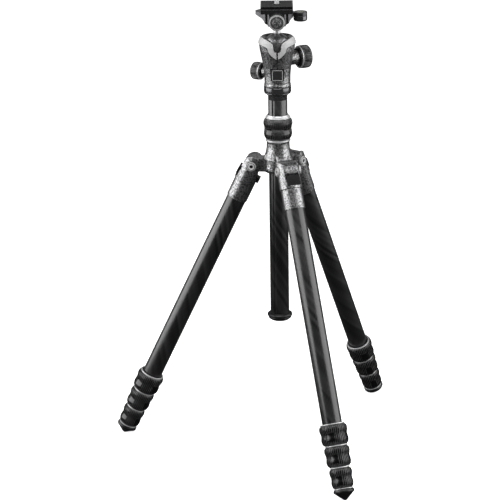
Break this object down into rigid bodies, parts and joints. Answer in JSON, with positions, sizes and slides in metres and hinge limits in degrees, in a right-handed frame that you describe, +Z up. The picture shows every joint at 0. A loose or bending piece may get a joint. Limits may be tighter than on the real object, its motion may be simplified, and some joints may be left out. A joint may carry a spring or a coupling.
{
  "type": "camera tripod with ball head",
  "caption": "Travel camera tripod: telescopic twist-lock legs folding from a hub, a sliding centre column and a ball head whose dovetail clamp holds a camera plate.",
  "frame": {"origin": "centre of the camera plate's top face, on the centre column's axis, at the foot of the camera screw", "axes": "+Z up along the column and the camera screw; one leg points along -X and the others lie 120 degrees to either side; the head's notch faces about -Y at rest"},
  "size_m": [0.3378, 0.386, 0.5913],
  "materials": {
    "hammered_grey": "dark grey hammered enamel on a light-alloy casting",
    "black_rubber": "knurled black rubber",
    "silver_trim": "bead-blasted silver anodised",
    "polished_steel": "polished",
    "ball_metal": "dark polished anodised",
    "carbon_tube": "clear-coated carbon-fibre weave",
    "black_anodised": "satin black anodised",
    "black_nylon": "moulded black nylon",
    "level_fluid": "clear vial with yellow-green fluid",
    "foot_rubber": "moulded black rubber"
  },
  "bodies": {
    "hub": {"hub": "hammered_grey", "column_bush": "black_nylon"},
    "column_lock": {"column_lock_collar": "black_rubber", "column_lock_ring": "silver_trim"},
    "column": {"column_tube": "carbon_tube", "column_top": "black_anodised", "column_cap": "black_anodised", "head_screw": "polished_steel", "pan_base": "black_anodised"},
    "head": {"head_body": "hammered_grey", "head_trim": "silver_trim", "head_badge": "black_nylon", "ball_seats": "black_nylon"},
    "ball_lock": {"ball_lock_knob": "black_rubber", "ball_lock_shaft": "polished_steel"},
    "pan_lock": {"pan_lock_knob": "black_rubber", "pan_lock_shaft": "polished_steel"},
    "ball": {"ball": "ball_metal"},
    "neck": {"ball_neck": "polished_steel"},
    "clamp": {"clamp_body": "black_anodised", "level_cup": "black_nylon", "level_vial": "level_fluid"},
    "clamp_jaw": {"clamp_jaw": "black_anodised"},
    "clamp_knob": {"clamp_knob": "black_rubber", "clamp_screw": "polished_steel"},
    "plate": {"camera_plate": "black_anodised"},
    "camera_screw": {"camera_screw": "polished_steel"},
    "leg_1": {"leg_top_1": "hammered_grey", "leg_bolt_1": "polished_steel", "tube1_1": "carbon_tube"},
    "angle_catch_1": {"angle_catch_1": "black_nylon"},
    "lock1_1": {"lock1_1": "black_rubber"},
    "section2_1": {"tube2_1": "carbon_tube"},
    "lock2_1": {"lock2_1": "black_rubber"},
    "section3_1": {"tube3_1": "carbon_tube"},
    "lock3_1": {"lock3_1": "black_rubber"},
    "section4_1": {"tube4_1": "carbon_tube", "foot_1": "foot_rubber"},
    "leg_2": {"leg_top_2": "hammered_grey", "leg_bolt_2": "polished_steel", "tube1_2": "carbon_tube"},
    "angle_catch_2": {"angle_catch_2": "black_nylon"},
    "lock1_2": {"lock1_2": "black_rubber"},
    "section2_2": {"tube2_2": "carbon_tube"},
    "lock2_2": {"lock2_2": "black_rubber"},
    "section3_2": {"tube3_2": "carbon_tube"},
    "lock3_2": {"lock3_2": "black_rubber"},
    "section4_2": {"tube4_2": "carbon_tube", "foot_2": "foot_rubber"},
    "leg_3": {"leg_top_3": "hammered_grey", "leg_bolt_3": "polished_steel", "tube1_3": "carbon_tube"},
    "angle_catch_3": {"angle_catch_3": "black_nylon"},
    "lock1_3": {"lock1_3": "black_rubber"},
    "section2_3": {"tube2_3": "carbon_tube"},
    "lock2_3": {"lock2_3": "black_rubber"},
    "section3_3": {"tube3_3": "carbon_tube"},
    "lock3_3": {"lock3_3": "black_rubber"},
    "section4_3": {"tube4_3": "carbon_tube", "foot_3": "foot_rubber"}
  },
  "joints": [
    {"name": "column_slide", "type": "slide", "parent": "hub", "child": "column", "axis": [0, 0, -1], "range_m": [-0.185, 0.02]},
    {"name": "column_lock_twist", "type": "hinge", "parent": "hub", "child": "column_lock", "pos_m": [0, 0, -0.1603], "axis": [0, 0, 1], "range_deg": [0, 90]},
    {"name": "head_pan", "type": "hinge", "parent": "column", "child": "head", "pos_m": [0, 0, -0.105], "axis": [0, 0, 1], "continuous": true},
    {"name": "ball_lock_turn", "type": "hinge", "parent": "head", "child": "ball_lock", "pos_m": [0, 0, -0.0716], "axis": [0.8363, 0.5483, 0], "range_deg": [0, 300]},
    {"name": "pan_lock_turn", "type": "hinge", "parent": "head", "child": "pan_lock", "pos_m": [0, 0, -0.089], "axis": [-0.9288, 0.3706, 0], "range_deg": [0, 300]},
    {"name": "tilt_side", "type": "hinge", "parent": "head", "child": "ball", "pos_m": [0, 0, -0.0533], "axis": [-0.1435, 0.9897, 0], "range_deg": [-30, 30]},
    {"name": "tilt_front", "type": "hinge", "parent": "ball", "child": "neck", "pos_m": [0, 0, -0.0533], "axis": [0.9897, 0.1435, 0], "range_deg": [-30, 90]},
    {"name": "clamp_swivel", "type": "hinge", "parent": "neck", "child": "clamp", "pos_m": [0, 0, -0.0253], "axis": [0, 0, 1], "continuous": true},
    {"name": "jaw_slide", "type": "slide", "parent": "clamp", "child": "clamp_jaw", "axis": [0.1435, -0.9897, 0], "range_m": [0, 0.002]},
    {"name": "clamp_knob_turn", "type": "hinge", "parent": "clamp_jaw", "child": "clamp_knob", "pos_m": [0, 0, -0.0173], "axis": [0.1435, -0.9897, 0], "range_deg": [0, 720]},
    {"name": "plate_slide", "type": "slide", "parent": "clamp", "child": "plate", "axis": [0.9897, 0.1435, 0], "range_m": [-0.012, 0.012]},
    {"name": "camera_screw_turn", "type": "hinge", "parent": "plate", "child": "camera_screw", "pos_m": [0, 0, 0], "axis": [0, 0, 1], "continuous": true},
    {"name": "leg_fold_1", "type": "hinge", "parent": "hub", "child": "leg_1", "pos_m": [0.01635, 0.02832, -0.2083], "axis": [-0.866, 0.5, 0], "range_deg": [-142.5, 23.5]},
    {"name": "angle_catch_1_pull", "type": "slide", "parent": "leg_1", "child": "angle_catch_1", "axis": [0.4513, 0.7817, 0.4305], "range_m": [0, 0.005], "stiffness_N_per_m": 120, "springref_m": -0.006},
    {"name": "lock1_1_twist", "type": "hinge", "parent": "leg_1", "child": "lock1_1", "pos_m": [0.08868, 0.15359, -0.51157], "axis": [0.2153, 0.3728, -0.9026], "range_deg": [0, 90]},
    {"name": "section2_1_slide", "type": "slide", "parent": "leg_1", "child": "section2_1", "axis": [0.2153, 0.3728, -0.9026], "range_m": [0, 0.265]},
    {"name": "lock2_1_twist", "type": "hinge", "parent": "section2_1", "child": "lock2_1", "pos_m": [0.09449, 0.16366, -0.53594], "axis": [0.2153, 0.3728, -0.9026], "range_deg": [0, 90]},
    {"name": "section3_1_slide", "type": "slide", "parent": "section2_1", "child": "section3_1", "axis": [0.2153, 0.3728, -0.9026], "range_m": [0, 0.265]},
    {"name": "lock3_1_twist", "type": "hinge", "parent": "section3_1", "child": "lock3_1", "pos_m": [0.1003, 0.17372, -0.56031], "axis": [0.2153, 0.3728, -0.9026], "range_deg": [0, 90]},
    {"name": "section4_1_slide", "type": "slide", "parent": "section3_1", "child": "section4_1", "axis": [0.2153, 0.3728, -0.9026], "range_m": [0, 0.265]},
    {"name": "leg_fold_2", "type": "hinge", "parent": "hub", "child": "leg_2", "pos_m": [-0.0327, 0, -0.2083], "axis": [0, -1, 0], "range_deg": [-142.5, 23.5]},
    {"name": "angle_catch_2_pull", "type": "slide", "parent": "leg_2", "child": "angle_catch_2", "axis": [-0.9026, 0, 0.4305], "range_m": [0, 0.005], "stiffness_N_per_m": 120, "springref_m": -0.006},
    {"name": "lock1_2_twist", "type": "hinge", "parent": "leg_2", "child": "lock1_2", "pos_m": [-0.17735, 0, -0.51157], "axis": [-0.4305, 0, -0.9026], "range_deg": [0, 90]},
    {"name": "section2_2_slide", "type": "slide", "parent": "leg_2", "child": "section2_2", "axis": [-0.4305, 0, -0.9026], "range_m": [0, 0.265]},
    {"name": "lock2_2_twist", "type": "hinge", "parent": "section2_2", "child": "lock2_2", "pos_m": [-0.18898, 0, -0.53594], "axis": [-0.4305, 0, -0.9026], "range_deg": [0, 90]},
    {"name": "section3_2_slide", "type": "slide", "parent": "section2_2", "child": "section3_2", "axis": [-0.4305, 0, -0.9026], "range_m": [0, 0.265]},
    {"name": "lock3_2_twist", "type": "hinge", "parent": "section3_2", "child": "lock3_2", "pos_m": [-0.2006, 0, -0.56031], "axis": [-0.4305, 0, -0.9026], "range_deg": [0, 90]},
    {"name": "section4_2_slide", "type": "slide", "parent": "section3_2", "child": "section4_2", "axis": [-0.4305, 0, -0.9026], "range_m": [0, 0.265]},
    {"name": "leg_fold_3", "type": "hinge", "parent": "hub", "child": "leg_3", "pos_m": [0.01635, -0.02832, -0.2083], "axis": [0.866, 0.5, 0], "range_deg": [-142.5, 23.5]},
    {"name": "angle_catch_3_pull", "type": "slide", "parent": "leg_3", "child": "angle_catch_3", "axis": [0.4513, -0.7817, 0.4305], "range_m": [0, 0.005], "stiffness_N_per_m": 120, "springref_m": -0.006},
    {"name": "lock1_3_twist", "type": "hinge", "parent": "leg_3", "child": "lock1_3", "pos_m": [0.08868, -0.15359, -0.51157], "axis": [0.2153, -0.3728, -0.9026], "range_deg": [0, 90]},
    {"name": "section2_3_slide", "type": "slide", "parent": "leg_3", "child": "section2_3", "axis": [0.2153, -0.3728, -0.9026], "range_m": [0, 0.265]},
    {"name": "lock2_3_twist", "type": "hinge", "parent": "section2_3", "child": "lock2_3", "pos_m": [0.09449, -0.16366, -0.53594], "axis": [0.2153, -0.3728, -0.9026], "range_deg": [0, 90]},
    {"name": "section3_3_slide", "type": "slide", "parent": "section2_3", "child": "section3_3", "axis": [0.2153, -0.3728, -0.9026], "range_m": [0, 0.265]},
    {"name": "lock3_3_twist", "type": "hinge", "parent": "section3_3", "child": "lock3_3", "pos_m": [0.1003, -0.17372, -0.56031], "axis": [0.2153, -0.3728, -0.9026], "range_deg": [0, 90]},
    {"name": "section4_3_slide", "type": "slide", "parent": "section3_3", "child": "section4_3", "axis": [0.2153, -0.3728, -0.9026], "range_m": [0, 0.265]}
  ],
  "couplings": [
    {"joint": "clamp_knob_turn", "follows": "jaw_slide", "rad_per_m": 6283.2}
  ]
}
